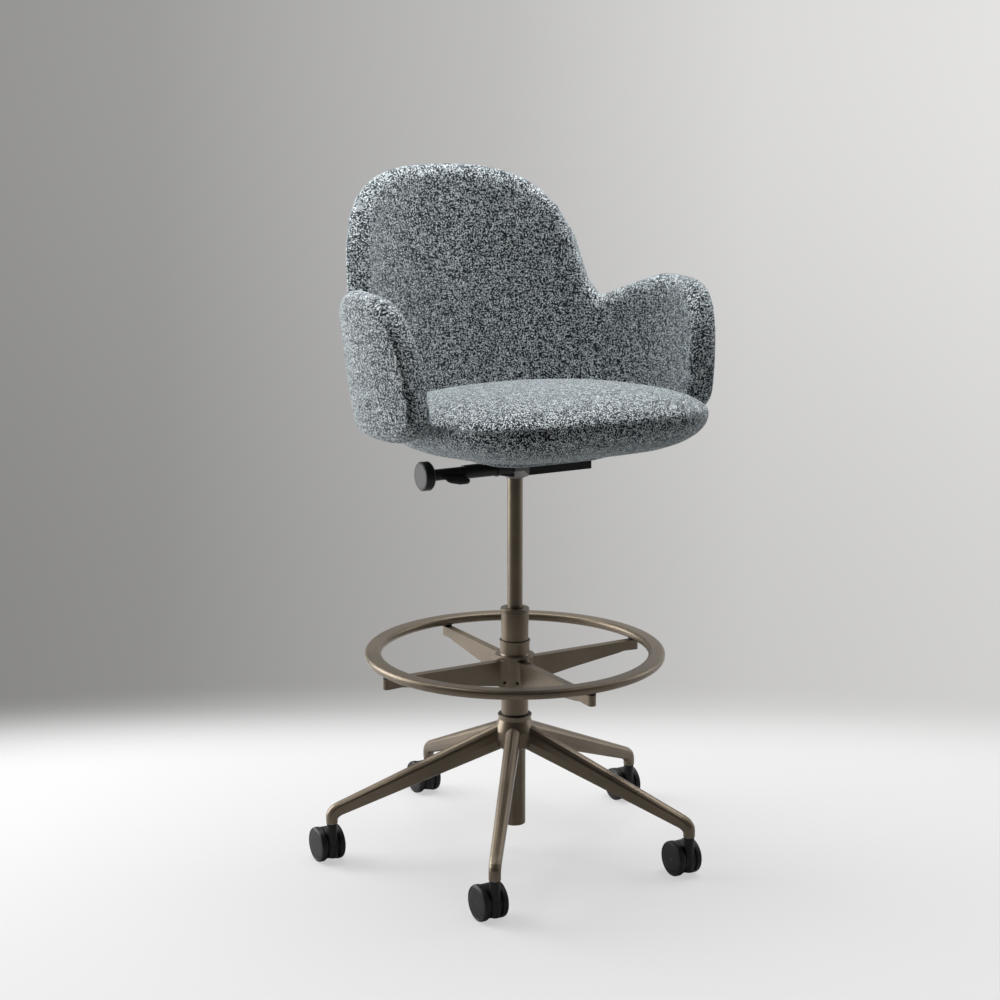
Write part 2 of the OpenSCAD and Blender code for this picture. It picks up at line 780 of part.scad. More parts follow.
module mechanism_housing() {
    color(steel)
        difference() {
            skin([[for (q = boss_plan) [q[0], q[1], boss_bottom_z]],
                [for (q = body_plan) [q[0], q[1], boss_flare_z]],
                [for (q = body_plan) [q[0], q[1], housing_top_z]]]);
            translate([0, 0, boss_bottom_z - 1])
                cylinder(h = cone_z - boss_bottom_z + 1, r = gas_r + run);
            translate([0, 0, cone_z - eps])
                cylinder(h = gas_top_z - cone_z + eps, r1 = gas_r + run, r2 = cone_r + run);
            translate([0, 0, gas_top_z - eps])
                cylinder(h = 20, r = cone_r + run);
            on_tilt_axis()
                bar_x(-housing_half_w - 1, housing_half_w + 1, cross_tube_r);
            tube_rib(-1);
            tube_rib(1);
            translate([-slot_half, tilt_y - sleeve_r - 1, tilt_z])
                cube([2 * slot_half, sleeve_r + 3 - tilt_y, 30]);
        }
}

module cross_tube() {
    color(black)
        difference() {
            union() {
                on_tilt_axis()
                    bar_x(-cross_tube_left, cross_tube_right, cross_tube_r);
                tube_rib(-1);
                tube_rib(1);
            }
            on_tilt_axis()
                bar_x(-cross_tube_left - 1, cross_tube_right + 1, sleeve_r + run);
            translate([-slot_half, tilt_y - sleeve_r - 1, tilt_z])
                cube([2 * slot_half, sleeve_r + 3 - tilt_y, 30]);
        }
}

module height_paddle() {
    paddle_w = paddle_far - paddle_near;
    paddle_side = norm([paddle_len, paddle_drop]);
    color(black)
        difference() {
            union() {
                on_tilt_axis()
                    bar_x(-sleeve_reach, finger_half, sleeve_r);
                translate([-finger_half, tilt_y, finger_low_z])
                    cube([2 * finger_half, -tilt_y, finger_top_z - finger_low_z]);
                translate([0, 0, nose_z])
                    bar_x(-finger_half, finger_half, nose_r);
                on_tilt_axis()
                    translate([-paddle_far, 0, 0])
                        rotate([atan2(paddle_drop, paddle_len), 0, 0])
                            translate([0, -paddle_side, -paddle_thick / 2])
                                linear_extrude(paddle_thick)
                                    polygon([[11, 0], [paddle_w, 0], [paddle_w + 6, 5],
                                        [paddle_w + 4, paddle_side], [-6, paddle_side], [-6, 15], [-3, 9]]);
            }
            on_tilt_axis()
                bar_x(-sleeve_reach - 1, finger_half + 1, shaft_r + run);
        }
}

module tension_shaft() {
    color(steel)
        on_tilt_axis()
            union() {
                bar_x(-knob_reach + cap_h + 2, finger_half + 4, shaft_r);
                bar_x(-knob_reach + knob_thick, -sleeve_reach - 1, shaft_r + 3);
            }
}

module tension_knob() {
    color(black)
        on_tilt_axis()
            translate([-knob_reach, 0, 0])
                rotate([90, 0, 90])
                    difference() {
                        rotate_extrude($fn = 96)
                            polygon([[0, 0.6], [knob_d / 2 - 1.8, 0.6], [knob_d / 2, 2.6],
                                [knob_d / 2, knob_thick - 3], [knob_d / 2 - 2.5, knob_thick],
                                [0, knob_thick]]);
                        translate([0, 0, -1])
                            cylinder(h = cap_h + 1, r = cap_r + run);
                        translate([0, 0, cap_h + 2])
                            cylinder(h = knob_thick, r = shaft_r + run);
                    }
}

module knob_cap() {
    color(steel)
        on_tilt_axis()
            translate([-knob_reach, 0, 0])
                rotate([90, 0, 90])
                    rotate_extrude($fn = 96)
                        polygon([[0, 0], [cap_r - 0.8, 0], [cap_r, 0.8], [cap_r, cap_h], [0, cap_h]]);
}

// Torsion spring bar, keyed in the seat plate's far ear
module torsion_bar() {
    color(steel)
        on_tilt_axis()
            union() {
                bar_x(finger_half + 8, plate_half_w + 4, torsion_r);
                bar_x(cross_tube_right - 20, cross_tube_right - 1, sleeve_r);
            }
}

module plate_ear(x, bore_r) {
    on_tilt_axis()
        difference() {
            union() {
                bar_x(x, x + ear_thick, ear_r);
                translate([x, -ear_r, 0])
                    cube([ear_thick, 2 * ear_r, web_z - tilt_z + 1]);
            }
            bar_x(x - 1, x + ear_thick + 1, bore_r);
        }
}

module tilt_plate() {
    corner = 14;
    color(black)
        difference() {
            union() {
                translate([0, 0, web_z])
                    linear_extrude(plate_thick)
                        polygon([[-plate_half_w, 6 - plate_front], [6 - plate_half_w, -plate_front],
                            [plate_half_w - 6, -plate_front], [plate_half_w, 6 - plate_front],
                            [plate_half_w, plate_back - corner], [plate_half_w - corner, plate_back],
                            [corner - plate_half_w, plate_back], [-plate_half_w, plate_back - corner]]);
                translate([-plate_half_w + 1, -plate_front, plate_top_z - lip_depth])
                    cube([2 * plate_half_w - 2, plate_thick, lip_depth]);
                for (x = [-plate_half_w, plate_half_w - plate_thick])
                    translate([x + plate_thick, 0, 0])
                        rotate([0, -90, 0])
                            linear_extrude(plate_thick)
                                polygon([[plate_top_z - lip_depth, -plate_front], [plate_top_z, -plate_front],
                                    [plate_top_z, 34 - plate_front], [web_z, 34 - plate_front],
                                    [plate_top_z - lip_depth, 2 - plate_front]]);
                plate_ear(-plate_half_w, cross_tube_r + run);
                plate_ear(ear_in, torsion_r);
            }
            for (x = [-plate_screw_x, plate_screw_x])
                for (y = plate_screw_y)
                    translate([x, y, web_z - 1])
                        cylinder(h = plate_thick + 2, r = screw_r + 0.3);
        }
}

module plate_screws() {
    color(steel)
        for (x = [-plate_screw_x, plate_screw_x])
            for (y = plate_screw_y)
                translate([x, y, 0])
                    union() {
                        translate([0, 0, web_z - screw_head_h])
                            cylinder(h = screw_head_h, r = screw_head_r + 1);
                        translate([0, 0, web_z - eps])
                            cylinder(h = plate_thick + seat_cover + plate_screw_bite, r = screw_r);
                    }
}

// ---------- seat ----------

// Point of a superellipse plan outline with its own front and rear lengths and powers
function plan(a, half_w, front, rear, mid_y, pow_front, pow_rear) =
    let (p = sin(a) > 0 ? pow_rear : pow_front, l = sin(a) > 0 ? rear : front)
    [half_w * signed_pow(cos(a), 2 / p), mid_y + l * signed_pow(sin(a), 2 / p)];

module board_outline(grow) {
    mid = (board_back - board_front) / 2;
    half_l = (board_back + board_front) / 2;
    polygon([for (a = [0:7.5:352.5])
        plan(a, board_half_w + grow, half_l + grow, half_l + grow, mid, 4, 4)]);
}

module screw_bores() {
    for (x = [-plate_screw_x, plate_screw_x])
        for (y = plate_screw_y)
            translate([x, y, plate_top_z - 1])
                cylinder(h = seat_cover + plate_screw_bite + 1 + eps, r = screw_r + run);
}

module seat_board() {
    color("#8a6f4d")
        difference() {
            translate([0, 0, board_z])
                linear_extrude(board_thick)
                    board_outline(0);
            screw_bores();
        }
}

// Cushion height above its edge line for a plan share, above and below
function crown_rise(s) = seat_crown * pow(1 - pow(s, 2.71), 1 / 1.95);
function belly_fall(s) = -seat_belly * pow(1 - pow(s, 3.15), 1 / 2.41);
function cushion_narrow(y) =
    1 - seat_front_in / seat_half_w * (1 - exp(-pow((y - seat_mid_y - 37) / 100, 2)));
function cushion_loop(s, dz) = [for (a = [0:5:355])
    let (q = plan(a, seat_half_w * s, seat_front_len * s, seat_rear_len * s, seat_mid_y, 3.7, 2.3),
         z = seat_edge_z - seat_slope * (q[1] - seat_mid_y) + dz)
    [q[0] * cushion_narrow(q[1]), q[1], max(plate_top_z, z)]];

// Steel frame inside the seat that carries the arms and the back
module frame_bars(r) {
    for (y = [bar_front_y, bar_back_y])
        translate([0, y, frame_z])
            bar_x(-arm_bar_end - (r - bar_r), arm_bar_end + (r - bar_r), r);
    translate([0, bar_front_y, frame_z])
        rotate([-90, 0, 0])
            cylinder(h = back_bar_end - bar_front_y + (r - bar_r), r = r);
    for (x = [-post_x, post_x])
        for (y = [bar_front_y, bar_back_y])
            translate([x, y, board_top_z])
                cylinder(h = frame_z - board_top_z, r = r);
}

module seat_frame() {
    color(black)
        frame_bars(bar_r);
}

module seat_cushion() {
    color(cloth)
        difference() {
            union() {
                skin(concat(
                    [for (t = [3, 20, 35, 48, 60, 70, 79, 86]) cushion_loop(sin(t), belly_fall(sin(t)))],
                    [cushion_loop(1, 0)],
                    [for (t = [86, 79, 70, 60, 48, 35, 20, 3]) cushion_loop(sin(t), crown_rise(sin(t)))]));
                translate([0, 0, plate_top_z])
                    linear_extrude(seat_cover + board_thick + 2)
                        board_outline(board_wrap);
            }
            translate([0, 0, board_z])
                linear_extrude(board_thick)
                    board_outline(0);
            screw_bores();
            frame_bars(bar_r + run);
        }
}

// ---------- back and arms ----------

// Middle surface of the shell at an angle from the back and a height
function shell_mid(a, z) =
    let (front = abs(a) >= 90,
         tuck = -foot_tuck * pow(max(0, min(1.2, (tuck_top - z) / tuck_height)), 2.2),
         half_w = shell_half_w + arm_lean * (z - lean_from_z) + tuck,
         len_y = front ? shell_front_len : shell_back_len + back_lean * (z - lean_from_z) + tuck,
         px = front ? arm_power : back_power,
         py = front ? arm_front_power : back_power)
    [half_w * signed_pow(sin(a), 2 / px), shell_mid_y + len_y * signed_pow(cos(a), 2 / py), z];

function shell_out(a, z) =
    let (t = shell_mid(a + 0.06, z) - shell_mid(a - 0.06, z), l = norm(t))
    [-t[1] / l, t[0] / l, 0];

function shell_top(a) =
    let (d = abs(a),
         share = pow(max(0, 1 - pow(d / arch_half_angle, 2.808)), 1 / 2.939),
         arch = mix(shell_top_start, shell_arch_top, share),
         fore = d >= lobe_at,
         w = fore ? arm_end_angle - lobe_at : lobe_back_width,
         p = fore ? 2.765 : 1.406,
         q = fore ? 1 / 2.032 : 1 / 1.406,
         lobe = mix(lobe_low, arm_lobe_z, pow(max(0, 1 - pow(abs((d - lobe_at) / w), p)), q)),
         r = blend_r * ramp(lobe_at + 8 - d, 0, 20))
    (arch + lobe + sqrt((arch - lobe) * (arch - lobe) + 4 * r * r)) / 2;

function shell_low(a) =
    let (t = ramp(abs(a), arm_end_angle - 21.07, arm_end_angle))
    mix(lobe_low, shell_bottom_z, pow(max(0, 1 - pow(t, 2.347)), 1 / 2.347));

// Closed loop of offset and height round one upright slice of the shell
function shell_loop(a) =
    let (top = shell_top(a), low = shell_low(a), h = max(0.8, top - low),
         r = min(mix(back_pad, arm_pad, ramp(abs(a), 30, 90)) / 2, h / 2),
         ys = [for (k = [0:loop_straight - 1]) [r, low + r + (h - 2 * r) * k / (loop_straight - 1)]],
         turns = [for (k = [1:loop_round]) 180 * k / (loop_round + 1)],
         top_arc = [for (b = turns) [r * cos(b), top - r + r * sin(b)]],
         low_arc = [for (b = turns) [-r * cos(b), low + r - r * sin(b)]])
    [for (q = concat(ys, top_arc, [for (p = reversed(ys)) [-p[0], p[1]]], low_arc))
        shell_mid(a, q[1]) + q[0] * shell_out(a, q[1])];

end_pack = 88.65;
shell_angles = [for (i = [0:shell_steps])
    0.9995 * arm_end_angle * sin(end_pack * (2 * i / shell_steps - 1)) / sin(end_pack)];

module shell_upholstery() {
    color(cloth)
        difference() {
            skin([for (a = shell_angles) shell_loop(a)]);
            frame_bars(bar_r + run);
        }
}

// ---------- one line for each node ----------

star_base();
hub_ring();
column_tube();
column_bushing();
column_cap();
thrust_bearing();
rod_clip();
caster_stems();
foot_ring();
foot_spider();
ring_pads();
ring_screws();
spider_liner();
grub_screws();
piston_rod();
gas_cylinder();
mechanism_housing();
cross_tube();
valve_button();
height_paddle();
tension_shaft();
tension_knob();
knob_cap();
torsion_bar();
tilt_plate();
plate_screws();
seat_board();
seat_frame();
seat_cushion();
shell_upholstery();
caster_hood(1);  // caster_1_hood
caster_axle(1);  // caster_1_axle
caster_wheel(1, -1);  // caster_1_wheel_left
caster_wheel(1, 1);  // caster_1_wheel_right
caster_hood(2);  // caster_2_hood
caster_axle(2);  // caster_2_axle
caster_wheel(2, -1);  // caster_2_wheel_left
caster_wheel(2, 1);  // caster_2_wheel_right
caster_hood(3);  // caster_3_hood
caster_axle(3);  // caster_3_axle
caster_wheel(3, -1);  // caster_3_wheel_left
caster_wheel(3, 1);  // caster_3_wheel_right
caster_hood(4);  // caster_4_hood
caster_axle(4);  // caster_4_axle
caster_wheel(4, -1);  // caster_4_wheel_left
caster_wheel(4, 1);  // caster_4_wheel_right
caster_hood(5);  // caster_5_hood
caster_axle(5);  // caster_5_axle
caster_wheel(5, -1);  // caster_5_wheel_left
caster_wheel(5, 1);  // caster_5_wheel_right
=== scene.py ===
# %% [markdown]
# # A drafting armchair
# The chair stands on five twin-wheel casters. A cast star base carries a column with a
# sliding foot ring, a gas lift and a tilt mechanism, and on top sit an upholstered bucket
# and a loose-looking seat cushion. The solids come in as a finished frame, in metres.
# This lesson gives the rigid ones their finishes, and makes the two soft ones anew.

# %% The frame
import json
import math

import bmesh
import bpy
import numpy as np
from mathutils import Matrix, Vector


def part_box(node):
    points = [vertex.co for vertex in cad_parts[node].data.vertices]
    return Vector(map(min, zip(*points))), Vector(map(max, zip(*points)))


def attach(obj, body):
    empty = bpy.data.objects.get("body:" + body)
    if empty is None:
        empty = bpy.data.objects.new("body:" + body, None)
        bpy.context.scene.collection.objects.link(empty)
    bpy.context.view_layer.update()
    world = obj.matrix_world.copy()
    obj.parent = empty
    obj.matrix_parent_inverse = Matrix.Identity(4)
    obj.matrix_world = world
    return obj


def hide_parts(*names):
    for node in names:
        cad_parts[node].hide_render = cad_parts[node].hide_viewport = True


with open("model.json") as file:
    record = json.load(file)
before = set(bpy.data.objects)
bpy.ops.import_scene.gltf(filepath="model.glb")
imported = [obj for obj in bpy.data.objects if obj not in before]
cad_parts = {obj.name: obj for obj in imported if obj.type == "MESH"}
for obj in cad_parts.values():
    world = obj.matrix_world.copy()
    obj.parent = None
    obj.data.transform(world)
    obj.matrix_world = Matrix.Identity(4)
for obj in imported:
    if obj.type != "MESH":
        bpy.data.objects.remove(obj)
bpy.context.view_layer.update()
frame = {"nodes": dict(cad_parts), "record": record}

nodes = frame["nodes"]

# %% [markdown]
# ## The camera
# A long lens from a little above the seat keeps the chair's upright lines nearly parallel.
# The camera is aimed along a direction, so no target object is needed. Two level directions
# are kept for the studio: ahead is the way the camera looks, and across is to its right.

# %% The camera
scene = bpy.context.scene
scene.view_settings.view_transform = "Standard"
eye = Vector((-1.76815, -3.01374, 1.38390))
gaze = Vector((0.489056, 0.848594, -0.201771))
camera = bpy.data.objects.new("camera", bpy.data.cameras.new("camera"))
camera.data.lens = 71.37
camera.data.sensor_width = 36
camera.data.clip_end = 50
camera.location = eye
camera.rotation_euler = gaze.to_track_quat("-Z", "Y").to_euler()
scene.collection.objects.link(camera)
scene.camera = camera
ahead = Vector((gaze.x, gaze.y, 0)).normalized()
across = Vector((gaze.y, -gaze.x, 0)).normalized()
print("camera", [round(c, 3) for c in camera.location], "lens", camera.data.lens)

# %% [markdown]
# ## Shader maths as sums
# A finish is easier to read as `grain * 0.4 + 0.6` than as a row of Math nodes. Wire wraps
# one output of a node, and each operator on it adds the Math node that does the sum.
# Finish owns a material or the world. Its node method adds every other kind of node, and
# the short methods after it name the few kinds that come up again and again.

# %% Wires
class Wire:
    """The output of a shader node, with arithmetic on numbers."""

    def __init__(self, finish, socket):
        self.finish = finish
        self.socket = socket

    def sum_of(self, operation, first, second):
        return self.finish.node("ShaderNodeMath", {"operation": operation}, [first, second])

    def __add__(self, other):
        return self.sum_of("ADD", self, other)

    def __sub__(self, other):
        return self.sum_of("SUBTRACT", self, other)

    def __rsub__(self, other):
        return self.sum_of("SUBTRACT", other, self)

    def __mul__(self, other):
        return self.sum_of("MULTIPLY", self, other)

    def __truediv__(self, other):
        return self.sum_of("DIVIDE", self, other)

    __radd__ = __add__
    __rmul__ = __mul__


print("wires ready")

# %% Finishes
class Finish:
    """A material, or the world, that is built from nodes."""

    def __init__(self, name, owner=None):
        self.owner = owner or bpy.data.materials.new(name)
        self.owner.use_nodes = True
        self.tree = self.owner.node_tree
        self.tree.nodes.clear()

    def node(self, kind, settings=None, sockets=None, out=0):
        made = self.tree.nodes.new(kind)
        for key, value in (settings or {}).items():
            if key == "stops":
                ramp = made.color_ramp
                while len(ramp.elements) < len(value):
                    ramp.elements.new(1.0)
                for element, (place, shade) in zip(ramp.elements, value):
                    element.position = place
                    element.color = (*shade, 1)
            else:
                setattr(made, key, value)
        pairs = sockets.items() if isinstance(sockets, dict) else enumerate(sockets or [])
        for key, value in pairs:
            if isinstance(value, Wire):
                self.tree.links.new(value.socket, made.inputs[key])
            else:
                made.inputs[key].default_value = value
        return Wire(self, made.outputs[out]) if made.outputs else None

    def place(self):
        """Where a point is on the piece, in metres."""
        return self.node("ShaderNodeTexCoord", out="Object")

    def parts(self, vector):
        """The x, y and z of a vector."""
        split = self.node("ShaderNodeSeparateXYZ", {}, [vector]).socket.node
        return [Wire(self, socket) for socket in split.outputs]

    def reach(self, vector, direction):
        """How far a vector goes in a direction."""
        return self.node("ShaderNodeVectorMath", {"operation": "DOT_PRODUCT"},
                         [vector, tuple(direction)], out="Value")

    def ray(self, kind):
        """1 for rays of one kind, such as camera rays, and 0 for the rest."""
        return self.node("ShaderNodeLightPath", out=f"Is {kind} Ray")

    def most(self, first, *others):
        """The largest of several values."""
        for other in others:
            first = self.node("ShaderNodeMath", {"operation": "MAXIMUM"}, [first, other])
        return first

    def clamp(self, value, low=0.0, high=1.0, to_low=0.0, to_high=1.0):
        """A soft step from to_low to to_high, while value goes from low to high."""
        return self.node("ShaderNodeMapRange", {"interpolation_type": "SMOOTHSTEP"},
                         [value, low, high, to_low, to_high])

    def noise(self, place, scale, detail=3.0, roughness=0.5):
        return self.node("ShaderNodeTexNoise", {},
                         {"Vector": place, "Scale": scale, "Detail": detail, "Roughness": roughness})

    def blend(self, mask, first, second, mode="MIX"):
        return self.node("ShaderNodeMix", {"data_type": "RGBA", "blend_type": mode},
                         {0: mask, 6: first, 7: second}, out=2)

    def relief(self, height, strength, depth):
        """A surface that looks raised where height is large, by up to depth metres."""
        return self.node("ShaderNodeBump", {},
                         {"Strength": strength, "Distance": depth, "Height": height})

    def close(self, **sockets):
        """The surface shader and the output. Socket names are written with underscores."""
        named = {key.replace("_", " "): value for key, value in sockets.items()}
        shader = self.node("ShaderNodeBsdfPrincipled", {}, named)
        self.node("ShaderNodeOutputMaterial", {}, {"Surface": shader})
        return self.owner


def colour(r, g, b):
    """A colour as it is seen on a screen, 0 to 255, made linear."""
    line = [c / 255 for c in (r, g, b)]
    return tuple(c / 12.92 if c <= 0.04045 else ((c + 0.055) / 1.055) ** 2.4 for c in line)


def rgba(r, g, b):
    return (*colour(r, g, b), 1)


def grey(level):
    """A grey for a colour socket, already linear."""
    return (level, level, level, 1)


print("finishes ready")

# %% [markdown]
# ## The studio's wall
# The chair stands in a white studio. Its wall is the world's colour, a ramp over the direction
# in which a ray leaves, from dark grey on one side to pale grey on the other. That ramp is
# painted light: the lamps' light falling unevenly across a white wall. So every view shows a
# clean backdrop, and below the horizon it turns into the pale floor. Metal shows that backdrop
# too, but matt surfaces get only a share of its light, or it would drown the lamps. The side
# that the camera stands on is dimmed for all but the camera's own rays, and that keeps the
# chair's front darker than its edges.

# %% The world
# The wall's grey, 0 to 255, against how far a ray goes across, -1 to 1. This is painted light, darker
# where less lamp light falls on the wall.
WALL_LIGHT_TONES = [(-1.0, 118), (-0.24, 150), (-0.17, 157), (-0.10, 172), (0.0, 190),
              (0.05, 203), (0.125, 218), (0.24, 228), (1.0, 236)]
WALL_FOOT = (-0.30, 0.04)
WALL_FOOT_TONE = 0.82
FLOOR_LINE = (-0.326, -0.288)
PALE_FLOOR = grey(0.83)
WORLD_LIGHT = 0.28
DARK_SIDE = 0.1
DARK_SIDE_REACH = (-0.7, 0.35)


def make_world():
    world = bpy.data.worlds.new("studio")
    scene.world = world
    air = Finish("studio", world)
    way = air.node("ShaderNodeTexCoord", out="Generated")
    # The ramp paints the lamps' uneven light across the white wall.
    stops = [((side + 1) / 2, colour(v, v - 0.8, v - 2)) for side, v in WALL_LIGHT_TONES]
    wall = air.node("ShaderNodeValToRGB", {"stops": stops}, [air.reach(way, across) * 0.5 + 0.5])
    height = air.parts(way)[2]
    fall = air.clamp(height, *WALL_FOOT, WALL_FOOT_TONE, 1.0)
    wall = air.blend(1.0, wall, air.node("ShaderNodeCombineColor", {}, [fall] * 3), "MULTIPLY")
    seen = air.blend(air.clamp(height, *FLOOR_LINE, 1.0, 0.0), wall, PALE_FLOOR)
    camera_ray = air.ray("Camera")
    direct = air.most(camera_ray, air.ray("Glossy"), air.ray("Transmission"))
    room = air.clamp(air.reach(way, ahead), *DARK_SIDE_REACH, DARK_SIDE, 1.0)
    room = room * (1 - camera_ray) + camera_ray
    strength = (direct * (1 - WORLD_LIGHT) + WORLD_LIGHT) * room
    shader = air.node("ShaderNodeBackground", {}, {"Color": seen, "Strength": strength})
    air.node("ShaderNodeOutputWorld", {}, {"Surface": shader})


make_world()
print("world light on matt surfaces", WORLD_LIGHT)

# %% [markdown]
# ## The floor
# Only the floor near the chair is a mesh, because it has to take the shadow. The camera sees
# the lit floor mixed with an even pale glow, so that the floor stays pale under modest lamps.
# The disc fades into the world at its rim and behind the chair. Other rays meet a plain grey
# disc that fades nowhere.

# %% The floor
FLOOR_R = 1.9
FLOOR_RING = 0.45
FLOOR_TONE = 0.55
GLOW_SHARE = 0.64
RIM_FADE = (0.9, FLOOR_R - 0.05)
REAR_FADE = (0.42, 0.88)


def floor_paint():
    paint = Finish("floor")
    place = paint.place()
    away = paint.node("ShaderNodeVectorMath", {"operation": "LENGTH"}, [place], out="Value")
    rim = paint.clamp(away, *RIM_FADE, 1.0, 0.0)
    rear = paint.clamp(paint.reach(place, ahead), *REAR_FADE, 1.0, 0.0)
    camera_ray = paint.ray("Camera")
    lit = paint.node("ShaderNodeBsdfDiffuse", {}, {"Color": grey(FLOOR_TONE)})
    glow = paint.node("ShaderNodeEmission", {}, {"Color": PALE_FLOOR, "Strength": 1.0})
    shade = paint.node("ShaderNodeMixShader", {}, {0: camera_ray * GLOW_SHARE, 1: lit, 2: glow})
    clear = paint.node("ShaderNodeBsdfTransparent")
    solid = paint.most(rim * rear, 1 - camera_ray)
    mixed = paint.node("ShaderNodeMixShader", {}, {0: solid, 1: clear, 2: shade})
    paint.node("ShaderNodeOutputMaterial", {}, {"Surface": mixed})
    return paint.owner


def make_floor():
    mesh = bmesh.new()
    bmesh.ops.create_circle(mesh, cap_ends=True, segments=128, radius=FLOOR_R)
    bmesh.ops.inset_region(mesh, faces=mesh.faces[:], thickness=FLOOR_R * FLOOR_RING,
                           use_even_offset=False)
    shape = bpy.data.meshes.new("floor")
    mesh.to_mesh(shape)
    mesh.free()
    floor = bpy.data.objects.new("floor", shape)
    scene.collection.objects.link(floor)
    shape.materials.append(floor_paint())


make_floor()
print("floor radius", FLOOR_R)

# %% [markdown]
# ## The lamps
# Three large softboxes stand a little behind the chair, as seen from the camera. The one
# overhead lights the tops, the strong one on the left lights that arm and the rims, and the
# weak one on the right only opens the shadows there.

# %% The lamps
def softbox(name, right, forward, height, aim, size, power):
    """An area lamp, placed from the chair's axis as the camera sees it and aimed back at it."""
    lamp = bpy.data.lights.new(name, "AREA")
    lamp.shape = "RECTANGLE"
    lamp.size, lamp.size_y = size
    lamp.energy = power
    place = Vector((0, 0, height)) + right * across + forward * ahead
    box = bpy.data.objects.new(name, lamp)
    box.location = place
    box.rotation_euler = (Vector((0, 0, aim)) - place).to_track_quat("-Z", "Y").to_euler()
    scene.collection.objects.link(box)


softbox("overhead", 0.0, 0.35, 3.0, aim=0.6, size=(2.8, 1.8), power=134)
softbox("left_bank", -2.4, 0.7, 1.2, aim=0.9, size=(1.8, 2.2), power=116)
softbox("right_bank", 2.6, 0.9, 1.3, aim=0.8, size=(1.2, 2.2), power=20)

# %% [markdown]
# ## Bronze coat
# The star base, the column and the foot ring share a bronze metallic coat, baked on, with
# a satin sheen. A metallic shader with a medium roughness gives it, and two noises make the
# roughness and the colour drift a little, as on a casting that was blasted before it was coated.

# %% Bronze coat
COAT_DEPTH = 0.0006


def metal_coat(name, shade, roughness, metallic, speck, bump):
    coat = Finish(name)
    place = coat.place()
    drift = coat.noise(place, 9.0, 2.0)
    grain = coat.noise(place, speck, 4.0, 0.6)
    dark = (*[c * 0.86 for c in shade], 1)
    light = (*[min(1, c * 1.12) for c in shade], 1)
    paint = coat.blend(coat.clamp(drift * 0.7 + grain * 0.3, 0.36, 0.64), dark, light)
    rough = drift * 0.10 + grain * 0.12 + (roughness - 0.11)
    return coat.close(Base_Color=paint, Metallic=metallic, Roughness=rough,
                      Normal=coat.relief(grain, bump, COAT_DEPTH))


BRONZE = colour(104, 93, 78)
bronze = metal_coat("bronze_coat", BRONZE, 0.38, metallic=0.6, speck=260.0, bump=0.05)
bright_steel = metal_coat("bright_steel", colour(176, 176, 178), 0.28,
                          metallic=0.9, speck=700.0, bump=0.03)
print("bronze", [round(c, 3) for c in BRONZE])

# %% [markdown]
# ## Black plastic and black steel
# The casters, the knob, the paddle and the rings are matt black plastic with a fine moulded
# texture. The seat plate is black coated steel. Both are dark, and what is seen of them is
# mostly their roughness, so that is where the variation goes.

# %% Black parts
SKIN_DEPTH = 0.0004


def black_part(name, shade, roughness, speck, bump):
    skin = Finish(name)
    place = skin.place()
    grain = skin.noise(place, speck, 3.0, 0.55)
    dust = skin.noise(place, 24.0, 3.0)
    dusty = (*[c * 1.5 for c in shade], 1)
    tone = skin.blend(skin.clamp(dust, 0.4, 0.75), (*shade, 1), dusty)
    rough = grain * 0.14 + dust * 0.12 + (roughness - 0.13)
    return skin.close(Base_Color=tone, Roughness=rough, Specular_IOR_Level=0.24,
                      Normal=skin.relief(grain, bump, SKIN_DEPTH))


black_plastic = black_part("black_plastic", colour(15, 14, 14), 0.46, 900.0, 0.2)
black_steel = black_part("black_steel", colour(11, 11, 11), 0.42, 500.0, 0.12)
grey_plastic = black_part("grey_plastic", colour(38, 37, 36), 0.50, 900.0, 0.22)
print("black finishes ready")

# %% [markdown]
# ## The mechanism's housing
# The tilt mechanism's housing is a casting whose facets take the light very differently. The
# side that carries the paddle is painted near black, partly for the housing's black coat and
# partly as painted shade, and the facet beside it is a plain grey. A mask over the housing's own
# x tells the two apart, with a step too short to look like a fade.

# %% Housing
PAINTED_SHADE_SIDE = (-0.0325, -0.0305)


def housing_with_painted_shade():
    skin = Finish("housing_with_painted_shade")
    place = skin.place()
    side = skin.parts(place)[0]
    grain = skin.noise(place, 420.0, 4.0, 0.6)
    # The paddle side's near black is partly the black coat and partly painted shade; the rest is the
    # grey casting.
    tone = skin.blend(skin.clamp(side, *PAINTED_SHADE_SIDE), rgba(18, 18, 18), rgba(104, 102, 100))
    return skin.close(Base_Color=tone, Metallic=0.3, Roughness=grain * 0.12 + 0.5,
                      Normal=skin.relief(grain, 0.12, SKIN_DEPTH))


housing = housing_with_painted_shade()
print("housing ready")

# %% [markdown]
# ## Plywood
# The seat board is plywood. A noise that is stretched along the board makes its grain, and
# a fine wave over the height makes the layers that show at its edge.

# %% Plywood
def plywood_layers():
    wood = Finish("plywood")
    place = wood.place()
    stretched = wood.node("ShaderNodeMapping", {}, {"Vector": place, "Scale": (4.0, 46.0, 46.0)})
    grain = wood.noise(stretched, 3.0, 4.0)
    ply = wood.node("ShaderNodeTexWave", {"bands_direction": "Z"},
                    {"Vector": place, "Scale": 160.0}, out=1)
    layer = wood.clamp(grain * 0.6 + ply * 0.4, 0.3, 0.7)
    tone = wood.blend(layer, rgba(150, 116, 76), rgba(190, 156, 112))
    return wood.close(Base_Color=tone, Roughness=grain * 0.2 + 0.55)


plywood = plywood_layers()
print("plywood ready")

# %% [markdown]
# ## Finishes on the frame's parts
# The rigid parts keep their shapes. Each takes the finish that its slot in the record names.

# %% Dress the rigid parts
finish_of = {
    "bronze_casting": bronze, "bronze_steel": bronze, "bare_casting": housing,
    "black_steel": black_steel, "black_plastic": black_plastic, "grey_plastic": grey_plastic,
    "bright_steel": bright_steel, "plywood": plywood,
}
slot_of = {part["node"]: part["material_slot"] for part in frame["record"]["subparts"]}
for name, part in nodes.items():
    if slot_of[name] in finish_of:
        part.data.materials.clear()
        part.data.materials.append(finish_of[slot_of[name]])
print("dressed", sum(slot in finish_of for slot in slot_of.values()), "parts")

